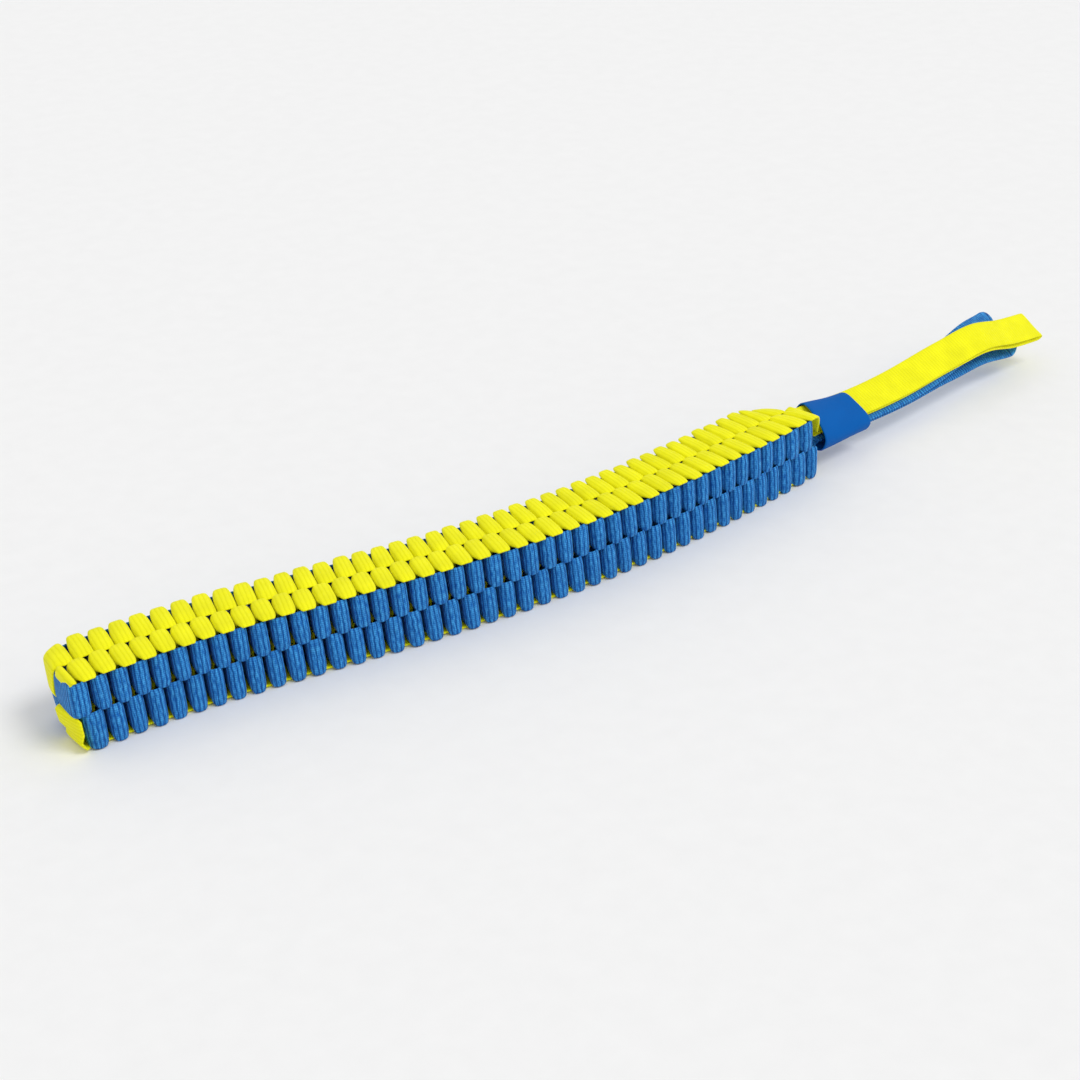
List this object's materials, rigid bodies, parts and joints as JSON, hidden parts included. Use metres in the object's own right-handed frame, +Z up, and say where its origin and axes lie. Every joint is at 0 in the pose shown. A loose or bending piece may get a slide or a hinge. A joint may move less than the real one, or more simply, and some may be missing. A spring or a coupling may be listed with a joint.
{
  "type": "training bumper",
  "caption": "Square-braided webbing dog training bumper with paired hand loops in a shrink sleeve.",
  "frame": {"origin": "on the surface that the bumper lies on, under the middle of its bounding box", "axes": "+X from the free end of the braid towards the hand loops, +Y to the back, +Z up"},
  "size_m": [0.5526, 0.075, 0.032],
  "materials": {
    "yellow_webbing": "woven, satin",
    "blue_webbing": "woven, satin",
    "sleeve": "matte",
    "thread": "matte"
  },
  "bodies": {
    "neck": {"shrink_sleeve": "sleeve", "neck_yellow_upper_ply": "yellow_webbing", "neck_yellow_lower_ply": "yellow_webbing", "neck_blue_upper_ply": "blue_webbing", "neck_blue_lower_ply": "blue_webbing", "binding_stitches": "thread"},
    "braid_1": {"braid_1_yellow_front": "yellow_webbing", "braid_1_yellow_back": "yellow_webbing", "braid_1_blue_upper": "blue_webbing", "braid_1_blue_lower": "blue_webbing"},
    "braid_2": {"braid_2_yellow_front": "yellow_webbing", "braid_2_yellow_back": "yellow_webbing", "braid_2_blue_upper": "blue_webbing", "braid_2_blue_lower": "blue_webbing"},
    "braid_3": {"braid_3_yellow_front": "yellow_webbing", "braid_3_yellow_back": "yellow_webbing", "braid_3_blue_upper": "blue_webbing", "braid_3_blue_lower": "blue_webbing"},
    "braid_4": {"braid_4_yellow_front": "yellow_webbing", "braid_4_yellow_back": "yellow_webbing", "braid_4_blue_upper": "blue_webbing", "braid_4_blue_lower": "blue_webbing"},
    "braid_5": {"braid_5_yellow_front": "yellow_webbing", "braid_5_yellow_back": "yellow_webbing", "braid_5_blue_upper": "blue_webbing", "braid_5_blue_lower": "blue_webbing"},
    "braid_6": {"braid_6_yellow_front": "yellow_webbing", "braid_6_yellow_back": "yellow_webbing", "braid_6_blue_upper": "blue_webbing", "braid_6_blue_lower": "blue_webbing"},
    "braid_7": {"braid_7_yellow_front": "yellow_webbing", "braid_7_yellow_back": "yellow_webbing", "braid_7_blue_upper": "blue_webbing", "braid_7_blue_lower": "blue_webbing"},
    "blue_loop": {"yellow_loop_root": "yellow_webbing", "blue_loop_upper_ply": "blue_webbing", "blue_loop_lower_ply": "blue_webbing", "blue_loop_tip": "blue_webbing"},
    "yellow_loop": {"yellow_loop_upper_ply": "yellow_webbing", "yellow_loop_lower_ply": "yellow_webbing", "yellow_loop_tip": "yellow_webbing"}
  },
  "joints": [
    {"name": "neck_flex", "type": "hinge", "parent": "neck", "child": "braid_1", "pos_m": [0.08928, 0.0011, 0.016], "axis": [-0.1994, 0.9799, 0], "range_deg": [-12, 12], "stiffness_Nm_per_rad": 1.5},
    {"name": "flex_1", "type": "hinge", "parent": "braid_1", "child": "braid_2", "pos_m": [0.03299, -0.01035, 0.016], "axis": [-0.1736, 0.9848, 0], "range_deg": [-10, 10], "stiffness_Nm_per_rad": 3},
    {"name": "flex_2", "type": "hinge", "parent": "braid_2", "child": "braid_3", "pos_m": [-0.01745, -0.01789, 0.016], "axis": [0, 0, 1], "range_deg": [-10, 10], "stiffness_Nm_per_rad": 3},
    {"name": "flex_3", "type": "hinge", "parent": "braid_3", "child": "braid_4", "pos_m": [-0.06833, -0.02145, 0.016], "axis": [-0.0262, 0.9997, 0], "range_deg": [-10, 10], "stiffness_Nm_per_rad": 3},
    {"name": "flex_4", "type": "hinge", "parent": "braid_4", "child": "braid_5", "pos_m": [-0.11932, -0.02056, 0.016], "axis": [0, 0, 1], "range_deg": [-10, 10], "stiffness_Nm_per_rad": 3},
    {"name": "flex_5", "type": "hinge", "parent": "braid_5", "child": "braid_6", "pos_m": [-0.17016, -0.01656, 0.016], "axis": [0.0785, 0.9969, 0], "range_deg": [-10, 10], "stiffness_Nm_per_rad": 3},
    {"name": "flex_6", "type": "hinge", "parent": "braid_6", "child": "braid_7", "pos_m": [-0.22101, -0.01256, 0.016], "axis": [0, 0, 1], "range_deg": [-10, 10], "stiffness_Nm_per_rad": 3},
    {"name": "loops_swing", "type": "hinge", "parent": "neck", "child": "blue_loop", "pos_m": [0.13196, 0.00458, 0.0184], "axis": [-0.165, 0.9863, 0], "range_deg": [-60, 60], "stiffness_Nm_per_rad": 0.15},
    {"name": "yellow_lift", "type": "hinge", "parent": "blue_loop", "child": "yellow_loop", "pos_m": [0.15168, 0.00789, 0.0202], "axis": [0.165, -0.9863, 0], "range_deg": [0, 40], "stiffness_Nm_per_rad": 0.06}
  ]
}
